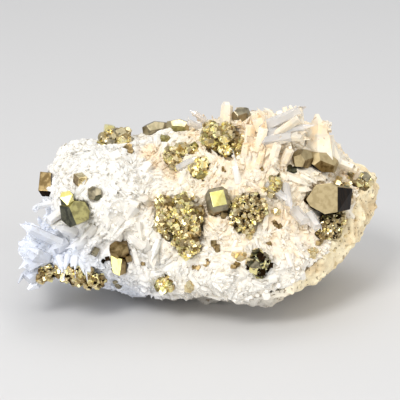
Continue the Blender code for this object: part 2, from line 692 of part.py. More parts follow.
def material(name, colour, metallic, roughness):
    """A plain material of one colour."""
    made = bpy.data.materials.new(name)
    made.use_nodes = True
    shader = made.node_tree.nodes["Principled BSDF"]
    shader.inputs["Base Color"].default_value = (*colour, 1.0)
    shader.inputs["Metallic"].default_value = metallic
    shader.inputs["Roughness"].default_value = roughness
    return made


def paint(obj, made):
    """Gives an object its one material."""
    obj.data.materials.clear()
    obj.data.materials.append(made)
    for face in obj.data.polygons:
        face.material_index = 0
        face.use_smooth = False


def build():
    for obj in list(bpy.data.objects):
        bpy.data.objects.remove(obj)
    stone = stone_form()
    add_lumps(stone)
    add_relief(stone)
    tree = BVHTree.FromObject(stone, bpy.context.evaluated_depsgraph_get())

    made = pyrites(tree)
    rooms = [(name, room_for(obj, turn)) for name, obj, turn in made]
    pieces = grown_together(made)
    spots = []
    for _, room in rooms:
        low, high = box_of(room)
        spots.append(((low + high) / 2, (high - low).length / 2 * 0.75))

    host = copy_of(stone, "host_rock")
    boolean(host, block_below(-CLEARANCE / 2), "INTERSECT")
    quartz = stone
    quartz.name = "quartz_bed"
    for crystal in quartz_crystals(tree, spots):
        boolean(quartz, crystal, "UNION")
    boolean(quartz, block_below(CLEARANCE / 2), "DIFFERENCE")
    cut_rooms(rooms, pieces, (quartz, host))
    for body in (quartz, host, *pieces.values()):
        keep_largest_body(body)

    paint(quartz, material("milky_quartz", (0.86, 0.83, 0.78), 0.0, 0.35))
    paint(host, material("wall_rock", (0.52, 0.43, 0.31), 0.0, 0.85))
    gold = material("pyrite", (0.62, 0.5, 0.24), 1.0, 0.3)
    for piece in pieces.values():
        paint(piece, gold)


build()
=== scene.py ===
"""Looks of a hand specimen: pyrite crystals in a crust of milky quartz on a piece of wall rock."""

import math
import random

import bmesh
import bpy
import numpy as np
from mathutils import Matrix, Vector, noise
from mathutils.bvhtree import BVHTree


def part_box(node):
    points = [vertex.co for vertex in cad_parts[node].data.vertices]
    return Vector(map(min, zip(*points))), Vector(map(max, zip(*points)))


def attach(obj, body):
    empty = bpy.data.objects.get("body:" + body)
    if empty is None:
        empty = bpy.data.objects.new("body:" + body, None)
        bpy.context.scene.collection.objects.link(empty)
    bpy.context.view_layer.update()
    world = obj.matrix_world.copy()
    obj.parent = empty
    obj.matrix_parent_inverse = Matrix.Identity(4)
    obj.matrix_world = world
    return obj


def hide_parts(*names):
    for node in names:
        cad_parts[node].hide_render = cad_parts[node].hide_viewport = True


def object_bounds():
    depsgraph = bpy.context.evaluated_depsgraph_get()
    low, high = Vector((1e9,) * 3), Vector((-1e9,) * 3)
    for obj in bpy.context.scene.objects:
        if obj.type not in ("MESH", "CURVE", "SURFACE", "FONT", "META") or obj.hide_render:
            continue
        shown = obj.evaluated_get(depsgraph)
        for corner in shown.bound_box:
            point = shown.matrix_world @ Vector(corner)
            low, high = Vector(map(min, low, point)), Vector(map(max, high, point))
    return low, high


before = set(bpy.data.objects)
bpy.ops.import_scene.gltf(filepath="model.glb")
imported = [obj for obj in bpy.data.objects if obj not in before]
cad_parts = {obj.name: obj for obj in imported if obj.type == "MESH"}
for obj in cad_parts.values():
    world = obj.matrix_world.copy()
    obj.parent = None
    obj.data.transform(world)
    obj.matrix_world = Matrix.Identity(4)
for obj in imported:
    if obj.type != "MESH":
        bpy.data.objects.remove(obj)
cad_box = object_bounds()


# Studio
# A plain pale floor, one soft light from the upper left, weaker ones from the front, from the
# right and overhead. The camera looks down on the specimen by twenty degrees.

MM = 0.001
EYE = Vector((-4.2, -422.9, 181.3)) * MM
AIM = Vector((-4.2, 0.0, 27.4)) * MM
VIEW_WIDTH = 111.2 * MM
SENSOR = 36.0
RIGHT = Vector((1.0, 0.0, 0.0))
TOWARD = (EYE - AIM).normalized()
UP = TOWARD.cross(RIGHT)

FLOOR_SIZE = 6.0
FLOOR_GREY = (0.62, 0.61, 0.6, 1.0)
WORLD_GREY = (0.95, 0.97, 1.0, 1.0)
WORLD_STRENGTH = 0.68

# Name, place, size and power of each light, in metres and watts
LIGHTS = (
    ("key", (-0.3, -0.55, 0.7), 0.3, 4.5),
    ("front", (-0.6, -0.85, 0.12), 0.5, 3.6),
    ("fill", (0.7, -0.35, 0.35), 0.4, 1.6),
    ("overhead", (0.05, 0.25, 0.85), 0.5, 1.4),
)

camera_data = bpy.data.cameras.new("camera")
camera_data.sensor_width = SENSOR
camera_data.lens = SENSOR * (EYE - AIM).length / VIEW_WIDTH
camera_data.clip_start = 0.01
camera_data.clip_end = 50.0
camera = bpy.data.objects.new("camera", camera_data)
camera.location = EYE
camera.rotation_euler = (-TOWARD).to_track_quat("-Z", "Y").to_euler()
bpy.context.scene.collection.objects.link(camera)
bpy.context.scene.camera = camera

for name, place, size, power in LIGHTS:
    light_data = bpy.data.lights.new(name, "AREA")
    light_data.shape = "SQUARE"
    light_data.size = size
    light_data.energy = power
    light = bpy.data.objects.new(name, light_data)
    light.location = place
    light.rotation_euler = (Vector(place) - AIM).to_track_quat("Z", "Y").to_euler()
    bpy.context.scene.collection.objects.link(light)

world = bpy.data.worlds.new("studio")
world.use_nodes = True
world.node_tree.nodes["Background"].inputs["Color"].default_value = WORLD_GREY
world.node_tree.nodes["Background"].inputs["Strength"].default_value = WORLD_STRENGTH
bpy.context.scene.world = world
bpy.context.scene.view_settings.view_transform = "Standard"

bpy.ops.object.select_all(action="DESELECT")
bpy.ops.mesh.primitive_plane_add(size=FLOOR_SIZE, location=(0, 0, 0))
floor = bpy.context.object
floor.name = "floor"
floor_paint = bpy.data.materials.new("pale_floor")
floor_paint.use_nodes = True
floor_shader = floor_paint.node_tree.nodes["Principled BSDF"]
floor_shader.inputs["Base Color"].default_value = FLOOR_GREY
floor_shader.inputs["Roughness"].default_value = 0.7
floor.data.materials.append(floor_paint)


# Wall rock
# The piece of altered wall rock that the quartz grew on: cream to tan, granular, full of small
# pits and brown specks. It shows as the rind at the lower right and as the whole underside.

ROCK_GRAIN = 0.55 * MM
ROCK_CREAM = (250, 236, 200)
ROCK_WHITE = (240, 236, 226)
ROCK_TAN = (222, 198, 156)
ROCK_BROWN = (110, 84, 50)
ROCK_GREY = (150, 142, 130)


def tint(colour):
    """An eight-bit screen colour as the linear colour that a shader takes."""
    line = []
    for part in colour:
        share = part / 255
        line.append(share / 12.92 if share <= 0.04045 else ((share + 0.055) / 1.055) ** 2.4)
    return (*line, 1.0)


class Wire:
    """A number in a material's nodes that can be reckoned with as plain numbers are."""

    def __init__(self, finish, socket):
        self.finish = finish
        self.socket = socket

    def math(self, operation, *others):
        settings = {"operation": operation}
        values = dict(enumerate((self, *others)))
        return self.finish.node("ShaderNodeMath", settings, values)

    def __add__(self, other):
        return self.math("ADD", other)

    __radd__ = __add__

    def __mul__(self, other):
        return self.math("MULTIPLY", other)

    __rmul__ = __mul__

    def __sub__(self, other):
        return self.math("SUBTRACT", other)

    def __rsub__(self, other):
        return (self * -1.0).math("ADD", other)


class Finish:
    """A procedural material on Object coordinates."""

    def __init__(self, name):
        self.material = bpy.data.materials.new(name)
        self.material.use_nodes = True
        self.tree = self.material.node_tree
        self.tree.nodes.clear()
        self.where = self.node("ShaderNodeTexCoord", output="Object")

    def node(self, kind, settings=None, values=None, output=0):
        """Adds a node: its settings first, then the values or links of its sockets."""
        made = self.tree.nodes.new(kind)
        for key, value in (settings or {}).items():
            if key == "stops":
                ramp = made.color_ramp
                for i, (place, colour) in enumerate(value):
                    stop = ramp.elements[i] if i < 2 else ramp.elements.new(place)
                    stop.position = place
                    stop.color = colour
            else:
                setattr(made, key, value)
        for key, value in (values or {}).items():
            if isinstance(value, Wire):
                self.tree.links.new(value.socket, made.inputs[key])
            else:
                made.inputs[key].default_value = value
        return Wire(self, made.outputs[output])

    def noise(self, size, detail=2.0, rough=0.5):
        """Soft noise from 0 to 1 whose blots are about this size."""
        values = {"Vector": self.where, "Scale": 1 / size, "Detail": detail, "Roughness": rough}
        return self.node("ShaderNodeTexNoise", {}, values)

    def step(self, value, low, high):
        """Goes smoothly from 0 to 1 while the value goes from low to high."""
        settings = {"interpolation_type": "SMOOTHSTEP"}
        values = {"Value": value, "From Min": low, "From Max": high}
        return self.node("ShaderNodeMapRange", settings, values)

    def blend(self, share, one, other):
        """A colour between two colours."""
        settings = {"data_type": "RGBA", "clamp_factor": True}
        return self.node("ShaderNodeMix", settings, {0: share, 6: one, 7: other}, output=2)

    def bump(self, height, distance, strength=1.0):
        values = {"Height": height, "Distance": distance, "Strength": strength}
        return self.node("ShaderNodeBump", {}, values)

    def surface(self, values, volume=None):
        """Ends the material with a Principled shader that has these values."""
        shader = self.node("ShaderNodeBsdfPrincipled", {}, values)
        ends = {"Surface": shader}
        if volume is not None:
            ends["Volume"] = volume
        end = self.tree.nodes.new("ShaderNodeOutputMaterial")
        for key, wire in ends.items():
            self.tree.links.new(wire.socket, end.inputs[key])
        return self.material

    def near(self, place, radius):
        """Goes from 0 to 1 on the way in from this distance of a place."""
        values = {0: self.where, 1: tuple(place)}
        gap = self.node("ShaderNodeVectorMath", {"operation": "DISTANCE"}, values, output=1)
        return self.step(gap * -1.0, -radius, -radius * 0.4)

    def axis(self, which):
        return self.node("ShaderNodeSeparateXYZ", {}, {"Vector": self.where}, output=which)


def copy_node(node, name):
    """A merged copy of a CAD node's mesh as a new object, ready to be shaped."""
    bpy.ops.object.select_all(action="DESELECT")
    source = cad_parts[node]
    made = bpy.data.objects.new(name, source.data.copy())
    bpy.context.scene.collection.objects.link(made)
    made.data.materials.clear()
    made.select_set(True)
    bpy.context.view_layer.objects.active = made
    bpy.ops.object.mode_set(mode="EDIT")
    bpy.ops.mesh.select_all(action="SELECT")
    bpy.ops.mesh.remove_doubles(threshold=0.01 * MM)
    bpy.ops.object.mode_set(mode="OBJECT")
    return made


def apply_all(obj):
    """Applies an object's modifiers from first to last."""
    bpy.ops.object.select_all(action="DESELECT")
    obj.select_set(True)
    bpy.context.view_layer.objects.active = obj
    for modifier in list(obj.modifiers):
        bpy.ops.object.modifier_apply(modifier=modifier.name)


def fine_skin(obj, grain):
    """Gives an object one even skin of small faces."""
    skin = obj.modifiers.new("Skin", "REMESH")
    skin.mode = "VOXEL"
    skin.voxel_size = grain
    apply_all(obj)


def reshape(obj, rule):
    """Moves every point of a mesh by what a rule says of its place and normal."""
    mesh = obj.data
    moved = []
    for vert in mesh.vertices:
        place = vert.co.copy()
        moved.append(place + rule(place, vert.normal))
    mesh.vertices.foreach_set("co", [c for place in moved for c in place])
    mesh.update()


def keep_in(obj, low, high):
    """Holds a mesh inside a box."""
    count = len(obj.data.vertices)
    points = np.empty(count * 3)
    obj.data.vertices.foreach_get("co", points)
    points = np.clip(points.reshape(-1, 3), low, high)
    obj.data.vertices.foreach_set("co", points.ravel())
    obj.data.update()


def rock_relief(place, normal):
    """Grains and pits of the wall rock."""
    p = place / MM
    height = 0.9 * noise.noise(p / 3.2) + 0.6 * noise.noise(p / 1.4) - 0.3
    pit = noise.noise(p / 1.7 + Vector((5.0, 1.0, 9.0)))
    if pit > 0.26:
        height -= (pit - 0.26) * 4.0
    if place.z < 0.05 * MM:
        return Vector((0, 0, 0))
    return normal * height * MM


rock_paint = Finish("wall_rock")
rock_blots = rock_paint.noise(7 * MM, 4.0)
rock_grain = rock_paint.noise(0.8 * MM, 3.0, 0.7)
rock_specks = rock_paint.step(rock_paint.noise(1.2 * MM, 3.0), 0.58, 0.68)
rock_low = rock_paint.step(rock_paint.axis("Z") * -1.0, -11 * MM, -4 * MM)
rock_colour = rock_paint.blend(
    rock_paint.step(rock_blots, 0.42, 0.66), tint(ROCK_CREAM), tint(ROCK_TAN)
)
rock_right = rock_paint.step(rock_paint.axis("X") + rock_blots * 8 * MM, 14 * MM, 30 * MM)
rock_colour = rock_paint.blend(rock_right, tint(ROCK_WHITE), rock_colour)
rock_colour = rock_paint.blend(rock_low * 0.6, rock_colour, tint(ROCK_GREY))
rock_colour = rock_paint.blend(rock_specks * 0.75, rock_colour, tint(ROCK_BROWN))
rock_paint.surface({
    "Base Color": rock_colour,
    "Roughness": 0.85,
    "Normal": rock_paint.bump(rock_grain, 0.25 * MM),
})

rock = copy_node("host_rock", "wall_rock")
fine_skin(rock, ROCK_GRAIN)
reshape(rock, rock_relief)
keep_in(rock, *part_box("host_rock"))
rock.data.materials.append(rock_paint.material)
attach(rock, "root")
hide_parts("host_rock")


# Quartz crust
# Milky quartz: crystals a few millimetres long that have grown into one crust, bluish white
# at the lower left, stained cream and peach by iron in the middle and at the right.

CRUST_GRAIN = 0.5 * MM
GROUND_GRAIN = 1.2 * MM
QUARTZ_BLUE = (230, 234, 244)
QUARTZ_WHITE = (243, 238, 228)
QUARTZ_CREAM = (247, 234, 210)
QUARTZ_PEACH = (244, 219, 181)
QUARTZ_GLASSY = (200, 199, 196)
QUARTZ_BRIGHT = (243, 240, 233)
STAIN_AND_SHADOW_BROWN = (150, 108, 66)

# Hollows stained by iron: place across and up the view, and radius, in millimetres
GROOVES = (((-14.5, 13.6), 4.2), ((-11.0, 10.6), 4.2), ((-8.0, 8.0), 3.4), ((21.0, -4.5), 3.5))


crust = copy_node("quartz_bed", "quartz_crust")
ground = copy_node("quartz_bed", "ground")
fine_skin(ground, GROUND_GRAIN)
even = ground.modifiers.new("Even", "SMOOTH")
even.factor = 0.8
even.iterations = 12
apply_all(ground)


def tree_of(obj):
    """A search tree over an object's faces."""
    bm = bmesh.new()
    bm.from_mesh(obj.data)
    tree = BVHTree.FromBMesh(bm)
    bm.free()
    return tree


ground_tree = tree_of(ground)
bpy.data.objects.remove(ground)


def seen(across, up, tree=ground_tree):
    """The point that the front view shows at a place of its sheet, in millimetres."""
    aim = AIM + (RIGHT * across + UP * up) * MM
    way = (aim - EYE).normalized()
    place = tree.ray_cast(EYE, way)[0]
    if place is None:
        reach = (AIM - EYE).dot(way)
        tries = [tree.find_nearest(EYE + way * (reach + i * MM)) for i in range(-50, 51)]
        place = min(tries, key=lambda found: found[3])[0]
    return place


def stains_and_painted_shade(paint):
    """The quartz's colour over the whole specimen: iron stains, and fine brown specks that are partly
    stain and dirt and partly painted shadow between the crystals.
    """
    x = paint.axis("X")
    z = paint.axis("Z")
    blots = paint.noise(9 * MM, 3.0)
    wisps = paint.noise(3.2 * MM, 3.0, 0.6)
    warm = paint.step(x + blots * 16 * MM, -16 * MM, 4 * MM)
    high = paint.step(z + wisps * 12 * MM, 22 * MM, 36 * MM)
    peach = paint.step(blots + wisps * 0.5, 0.68, 0.95)
    cool = paint.step(x * 0.8 + z + wisps * 10 * MM, -10 * MM, 7 * MM)
    colour = paint.blend(cool, tint(QUARTZ_BLUE), tint(QUARTZ_WHITE))
    colour = paint.blend(warm * (high * 0.8 + 0.2), colour, tint(QUARTZ_CREAM))
    colour = paint.blend(warm * high * peach, colour, tint(QUARTZ_PEACH))
    for place, radius in GROOVES:
        groove = paint.near(seen(*place), radius * MM)
        colour = paint.blend(groove * 0.8, colour, tint(QUARTZ_PEACH))
        pits = paint.step(paint.noise(1.3 * MM, 2.0), 0.58, 0.66)
        colour = paint.blend(groove * pits * 0.7, colour, tint(STAIN_AND_SHADOW_BROWN))
    cells = paint.node("ShaderNodeTexVoronoi", {}, {"Vector": paint.where, "Scale": 1 / (1.7 * MM)}, 1)
    colour = paint.blend(paint.step(cells, 0.45, 0.8) * 0.3, colour, tint(QUARTZ_GLASSY))
    # Fine brown specks: partly iron stain and dirt, partly painted shadow in the gaps and pits between
    # the small crystals.
    specks = paint.step(paint.noise(0.9 * MM, 1.0), 0.67, 0.74)
    return paint.blend(specks * (warm * 0.3 + 0.15), colour, tint(STAIN_AND_SHADOW_BROWN))


crust_paint = Finish("milky_quartz")
crust_paint.surface({
    "Base Color": stains_and_painted_shade(crust_paint),
    "Roughness": 0.24,
    "Subsurface Weight": 0.3,
    "Subsurface Radius": (1.0, 0.9, 0.8),
    "Subsurface Scale": 1.5 * MM,
    "Normal": crust_paint.bump(crust_paint.noise(0.5 * MM, 2.0, 0.6), 0.1 * MM),
})


# Large quartz crystals
# The crystals that stand out of the crust one by one: six-sided, with a point or a blunt,
# bevelled end. The milky ones are of one growth with the crust.

ROOTED = 1.5 * MM
EDGE = 0.07 * MM
FOOT = 0.8 * MM  # height over a clear crystal's root down to which the crust goes below it
LOOSE = 0.5 * MM

# Root across and up the view, reach right, up and toward the viewer, width, and height of
# the point as a share of the width, in millimetres
MILKY = (
    ((7.2, 22.0), (0.3, 5.2, 0.6), 4.3, 0.22),
    ((17.0, 21.0), (-1.6, 4.6, 1.0), 4.4, 0.7),
    ((36.0, 11.5), (7.0, -2.6, 1.0), 2.4, 0.3),
    ((38.0, 10.0), (7.4, -2.2, 0.0), 2.2, 0.9),
    ((-38.8, -17.0), (1.6, -5.0, 3.5), 2.7, 1.5),
    ((-37.0, -16.6), (-0.6, -4.0, 3.2), 2.0, 1.3),
    ((-34.8, -17.2), (0.2, -4.2, 3.4), 2.5, 1.5),
    ((-33.2, -17.8), (1.6, -2.8, 3.2), 1.8, 1.3),
    ((-31.5, -18.5), (0.4, -3.8, 3.0), 2.2, 1.4),
    ((-43.6, -19.2), (-1.4, -3.4, 3.4), 3.2, 1.2),
    ((-40.8, -18.6), (0.2, -3.6, 3.4), 2.6, 1.3),
    ((-42.0, -1.0), (-4.2, -1.0, 3.0), 2.0, 0.7),
    ((-39.0, -3.5), (-4.4, -3.2, 3.4), 3.0, 0.7),
    ((-17.0, -12.0), (-3.0, 2.0, 3.0), 3.2, 0.8),
    ((24.0, 12.0), (1.4, 3.6, 3.0), 2.8, 0.8),
    ((33.2, 12.0), (-0.4, 11.6, 0.6), 9.4, 0.62),
    ((36.8, 11.5), (-2.4, 8.0, 0.8), 6.0, 0.8),
    ((13.6, 16.5), (0.4, 7.0, 1.5), 3.4, 0.8),
    ((16.4, 15.0), (1.8, 7.0, 2.0), 3.0, 0.8),
    ((20.5, 12.5), (1.6, 5.0, 3.0), 2.8, 0.9),
    ((12.4, 12.5), (0.4, 5.0, 2.6), 2.6, 0.9),
    ((16.6, 10.5), (1.2, 4.6, 2.6), 2.4, 1.0),
)
VEILED = (
    ((24.0, 17.5), (6.0, -0.6, 4.0), 2.4, 0.9),
    ((21.5, 18.5), (6.8, 5.0, 3.0), 2.8, 0.6),
    ((20.0, 15.5), (9.0, 3.4, 4.0), 2.6, 0.9),
    ((-40.0, -11.5), (-9.6, 4.6, 3.0), 4.3, 0.75),
    ((-44.0, -16.0), (-3.2, 2.6, 5.5), 4.6, 0.7),
    ((-42.0, -19.0), (-7.0, 0.5, 2.0), 3.8, 0.8),
    ((-15.0, 0.0), (-1.0, 1.2, 2.2), 3.4, 0.3),
    ((-19.0, -3.5), (-2.6, -4.0, 1.2), 3.8, 1.2),
    ((-22.5, -6.5), (-2.6, -4.2, 1.2), 3.6, 1.3),
    ((-17.0, -8.0), (0.8, -4.4, 1.4), 3.2, 1.3),
    ((-13.0, -16.0), (0.0, -2.8, 3.2), 3.8, 0.7),
    ((14.0, 17.0), (1.6, -3.4, 2.6), 2.8, 0.8),
    ((-36.0, -8.5), (-4.5, 1.5, 2.5), 3.6, 0.8),
    ((-33.0, -12.0), (-4.0, -1.5, 2.0), 3.4, 0.9),
    ((-30.5, -8.5), (-3.0, -3.0, 2.0), 3.0, 1.0),
    ((-38.5, -12.5), (-3.5, -2.0, 3.0), 3.8, 0.8),
    ((-44.6, -18.6), (-5.2, -4.6, 2.4), 5.0, 0.5),
    ((-45.2, -16.6), (-4.6, -2.4, 2.8), 4.2, 0.6),
    ((-43.0, -19.6), (-4.2, -5.4, 2.2), 4.6, 0.5),
)
WHITE = (
    ((10.4, 6.4), (-1.2, 7.4, 4.0), 3.0, 1.8),
    ((-3.0, -11.5), (-0.6, -4.6, 3.0), 2.6, 1.3),
    ((-12.0, -12.5), (-1.4, -4.4, 2.6), 2.6, 1.2),
    ((-34.0, 2.0), (2.4, 3.6, 2.0), 2.2, 1.0),
    ((-38.0, -6.0), (-4.5, -2.0, 3.0), 2.2, 1.0),
)
CLEAR = (
    ((1.8, 21.5), (-4.6, 3.6, 1.0), 2.4, 0.7),
    ((-0.6, 20.5), (-4.0, 2.0, 2.0), 2.2, 0.8),
    ((18.0, 20.5), (11.0, 5.0, 2.0), 3.6, 0.5),
    ((18.0, 18.5), (13.0, 1.8, 3.0), 3.4, 0.8),
    ((17.5, 16.5), (10.0, 1.5, 4.0), 3.2, 0.8),
    ((20.0, 3.5), (4.6, -4.0, 4.0), 2.8, 0.8),
    ((24.0, 3.0), (1.0, -5.5, 4.5), 2.6, 0.8),
    ((27.0, -3.5), (3.4, -3.6, 5.0), 3.4, 0.8),
    ((31.0, -5.0), (2.4, -3.8, 4.6), 3.0, 0.8),
    ((-4.9, 9.4), (4.2, 2.2, 1.6), 2.7, 0.35),
)


def select_where(obj, rule):
    """In edit mode, selects the faces that a rule picks and no others."""
    bm = bmesh.from_edit_mesh(obj.data)
    for face in bm.faces:
        face.select_set(rule(face))
    bm.select_flush_mode()
    bmesh.update_edit_mesh(obj.data)


def large_crystal(root, reach, width, point, rng):
    """Models one six-sided crystal upright, then stands it at its root."""
    half = width * MM / 2
    length = reach.length
    shoulder = max(length * 0.35, length - point * width * MM)
    blunt = max(0.06, 0.75 - point) if point < 0.7 else 0.06
    taper = max(0.5, 0.95 - point * 0.28)
    bpy.ops.object.select_all(action="DESELECT")
    bpy.ops.mesh.primitive_cylinder_add(vertices=6, radius=half, depth=shoulder,
                                        location=(0, 0, shoulder / 2))
    obj = bpy.context.object
    bpy.ops.object.transform_apply(location=True, rotation=True, scale=True)
    bpy.ops.object.mode_set(mode="EDIT")
    select_where(obj, lambda face: face.normal.z > 0.9)
    bpy.ops.transform.resize(value=(taper, taper, 1), center_override=(0, 0, shoulder))
    lean = (rng.uniform(-0.2, 0.2) * half, rng.uniform(-0.2, 0.2) * half, length - shoulder)
    bpy.ops.mesh.extrude_region_move(TRANSFORM_OT_translate={"value": lean})
    tip = min(1.0, blunt / taper)
    bpy.ops.transform.resize(value=(tip, tip, 1), center_override=(lean[0], lean[1], length))
    bpy.ops.mesh.select_all(action="SELECT")
    bpy.ops.transform.resize(value=(1, rng.uniform(0.72, 1.0), 1), center_override=(0, 0, 0))
    bpy.ops.mesh.bevel(offset=EDGE, segments=1)
    bpy.ops.object.mode_set(mode="OBJECT")
    turn = reach.to_track_quat("Z", "Y").to_matrix()
    turn = turn @ Matrix.Rotation(rng.uniform(0, math.pi), 3, "Z")
    obj.data.transform(Matrix.Translation(root) @ turn.to_4x4())
    return obj


def joined(objects, name):
    """Makes one object of several."""
    bpy.ops.object.select_all(action="DESELECT")
    for obj in objects:
        obj.select_set(True)
    bpy.context.view_layer.objects.active = objects[0]
    bpy.ops.object.join()
    objects[0].name = name
    return objects[0]


def rooted(row):
    """Root of a large crystal below the ground, and its reach from there."""
    (across, up), (right, rise, toward), _, _ = row
    place = seen(across, up)
    reach = (RIGHT * right + UP * rise + TOWARD * toward) * MM
    root = place - reach.normalized() * ROOTED
    return root, place + reach - root


def large_crystals(rows, name, seed):
    """One piece of all the large crystals of a table."""
    rng = random.Random(seed)
    return joined([large_crystal(*rooted(row), row[2], row[3], rng) for row in rows], name)


clear_paint = Finish("clear_quartz")
clear_paint.surface(
    {
        "Base Color": (1.0, 0.97, 0.93, 1.0),
        "Roughness": 0.08,
        "Transmission Weight": 0.58,
        "IOR": 1.544,
    },
    clear_paint.node(
        "ShaderNodeVolumeAbsorption", {}, {"Color": (0.95, 0.92, 0.87, 1.0), "Density": 15.0}
    ),
)

veiled_paint = Finish("veiled_quartz")
veiled_paint.surface({
    "Base Color": stains_and_painted_shade(veiled_paint),
    "Roughness": 0.14,
    "Transmission Weight": 0.28,
    "IOR": 1.544,
})

white_paint = Finish("white_quartz")
white_paint.surface({
    "Base Color": tint(QUARTZ_BRIGHT),
    "Roughness": 0.18,
    "Subsurface Weight": 0.4,
    "Subsurface Radius": (1.0, 0.9, 0.8),
    "Subsurface Scale": 1.5 * MM,
})

milky_crystals = large_crystals(MILKY, "milky_quartz_crystals", 3)
keep_in(milky_crystals, cad_box[0], cad_box[1])
milky_crystals.data.materials.append(crust_paint.material)
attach(milky_crystals, "root")

veiled_crystals = large_crystals(VEILED, "veiled_quartz_crystals", 7)
keep_in(veiled_crystals, cad_box[0], cad_box[1])
veiled_crystals.data.materials.append(veiled_paint.material)
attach(veiled_crystals, "root")

white_crystals = large_crystals(WHITE, "white_quartz_crystals", 8)
keep_in(white_crystals, cad_box[0], cad_box[1])
white_crystals.data.materials.append(white_paint.material)
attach(white_crystals, "root")

clear_crystals = large_crystals(CLEAR, "clear_quartz_crystals", 4)
keep_in(clear_crystals, cad_box[0], cad_box[1])
clear_crystals.data.materials.append(clear_paint.material)
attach(clear_crystals, "root")

clear_feet = [(*rooted(row), row[2] * MM / 2) for row in CLEAR]


def off_clear(place, normal):
    """Takes the crust down to the foot of each clear crystal, so that one looks through it."""
    moved = place.copy()
    for root, reach, half in clear_feet:
        way = reach.normalized()
        along = (moved - root).dot(way)
        aside = (moved - root - way * along).length
        if FOOT < along < reach.length + LOOSE and aside < half + LOOSE:
            moved -= way * (along - FOOT)
    return moved - place


fine_skin(crust, CRUST_GRAIN)
reshape(crust, off_clear)
fine_skin(crust, CRUST_GRAIN)

pyrite_nodes = [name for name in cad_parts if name.startswith("pyrite")]
pyrite_mesh = bmesh.new()
inner_mesh = bmesh.new()
for node in pyrite_nodes:
    pyrite_mesh.from_mesh(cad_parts[node].data)
    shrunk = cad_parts[node].data.copy()
    corner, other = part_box(node)
    middle = (corner + other) / 2
    shrunk.transform(Matrix.Translation(middle) @ Matrix.Scale(0.84, 4) @ Matrix.Translation(-middle))
    inner_mesh.from_mesh(shrunk)
    bpy.data.meshes.remove(shrunk)
pyrite_tree = BVHTree.FromBMesh(pyrite_mesh)
rock_tree = tree_of(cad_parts["host_rock"])
inner_tree = BVHTree.FromBMesh(inner_mesh)
pyrite_mesh.free()
inner_mesh.free()


def crust_relief(place, normal):
    """Sinks the crust a little below the tips of the small crystals, with uneven ground."""
    p = place / MM
    height = -0.42 + 0.4 * noise.noise(p / 2.2) + 0.3 * noise.noise(p / 1.0)
    for tree in (pyrite_tree, rock_tree):
        gap = tree.find_nearest(place)[3]
        if gap < 1.2 * MM:
            height += (1.2 - gap / MM) * 0.5
    return normal * height * MM


reshape(crust, crust_relief)
keep_in(crust, *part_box("quartz_bed"))
crust.data.materials.append(crust_paint.material)
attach(crust, "root")
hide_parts("quartz_bed")


# Pyrite finishes
# Brass-coloured iron sulphide with flat, mirror-like faces. Fresh faces are pale brass yellow, others
# are dulled to olive or tarnished to a dark brown. Some finishes also stand in for light: the bright and
# yellow ones are partly painted highlight, the shaded one is painted shade, and the dark one is partly
# tarnish and partly painted shade and painted reflection of dark surroundings.

EDGE_WEAR = 0.12 * MM
STRIPES = (1.0, 1.0, 0.1)  # how much a striped face's pattern is drawn out along Z


def pyrite_finish(name, face, tarnish, rough, striped=False):
    """One finish of pyrite: its colour, the tarnish on it and how dull it is."""
    paint = Finish(name)
    blots = paint.noise(1.4 * MM, 2.0)
    if striped:
        drawn = paint.node("ShaderNodeMapping", {}, {"Vector": paint.where, "Scale": STRIPES})
        blots = paint.node("ShaderNodeTexNoise", {}, {"Vector": drawn, "Scale": 1 / (1.1 * MM)})
    shine = paint.noise(0.5 * MM, 1.0)
    paint.surface({
        "Base Color": paint.blend(paint.step(blots, 0.42, 0.64), tint(face), tint(tarnish)),
        "Metallic": 1.0,
        "Roughness": shine * 0.14 + (rough - 0.07),
        "Normal": paint.bump(paint.noise(0.35 * MM, 1.0), 0.02 * MM),
    })
    return paint.material


# Painted light among these: bright and yellow are partly painted highlight, shaded is painted shade,
# dark is partly tarnish and partly painted shade and reflection.
pyrite_paints = {
    "bright": pyrite_finish("pyrite_bright", (255, 248, 190), (250, 234, 160), 0.3),
    "yellow": pyrite_finish("pyrite_yellow_face", (250, 240, 158), (240, 226, 136), 0.34),
    "striped": pyrite_finish("pyrite_striped", (252, 244, 152), (200, 192, 130), 0.34, True),
    "brass": pyrite_finish("pyrite_brass", (236, 220, 176), (206, 186, 138), 0.28),
    "olive": pyrite_finish("pyrite_olive", (176, 168, 112), (136, 128, 86), 0.32),
    "dull": pyrite_finish("pyrite_dull", (196, 182, 146), (172, 160, 126), 0.42),
    "grey": pyrite_finish("pyrite_grey", (166, 156, 130), (130, 122, 102), 0.36),
    "shaded": pyrite_finish("pyrite_shaded", (98, 98, 80), (62, 62, 50), 0.36),
    "brown": pyrite_finish("pyrite_brown", (164, 142, 100), (116, 96, 62), 0.34),
    "dark": pyrite_finish("pyrite_dark", (38, 26, 13), (20, 13, 7), 0.42, True),
    "tan": pyrite_finish("pyrite_tan", (174, 157, 120), (156, 139, 103), 0.44),
    "rim": pyrite_finish("pyrite_rim", (160, 140, 100), (124, 104, 66), 0.4),
    "gold": pyrite_finish("pyrite_gold", (242, 228, 184), (222, 198, 152), 0.42),
}


# Granular pyrite
# Masses of small pyrite crystals that have grown together, cubes and twelve-sided ones under two
# millimetres, each turned its own way, so that some mirror the light and some are dark. The finishes
# they take by turns add to this: bright grains are partly painted highlight, shaded grains are painted
# shade, and dark grains and the dark masses under them are partly tarnish and partly painted shade.

GRAIN_HALF = (0.24, 0.62)
GRAINS_PER_AREA = 3.0  # on a square millimetre
CORE_SINK = 0.35 * MM
# Finishes by turns: bright is partly painted highlight, shaded is painted shade, dark is partly tarnish
# and partly painted shade.
FRESH = ("brass", "bright", "tan", "brass", "dull", "bright", "brown", "brass", "bright", "olive")
DEEP = ("brass", "brown", "bright", "tan", "brass", "dark", "dull", "bright", "brown")
PALE = ("brass", "tan", "bright", "grey", "brass", "dull", "bright")
DARK = ("shaded", "dark", "bright", "grey", "dark", "brass", "shaded", "olive")

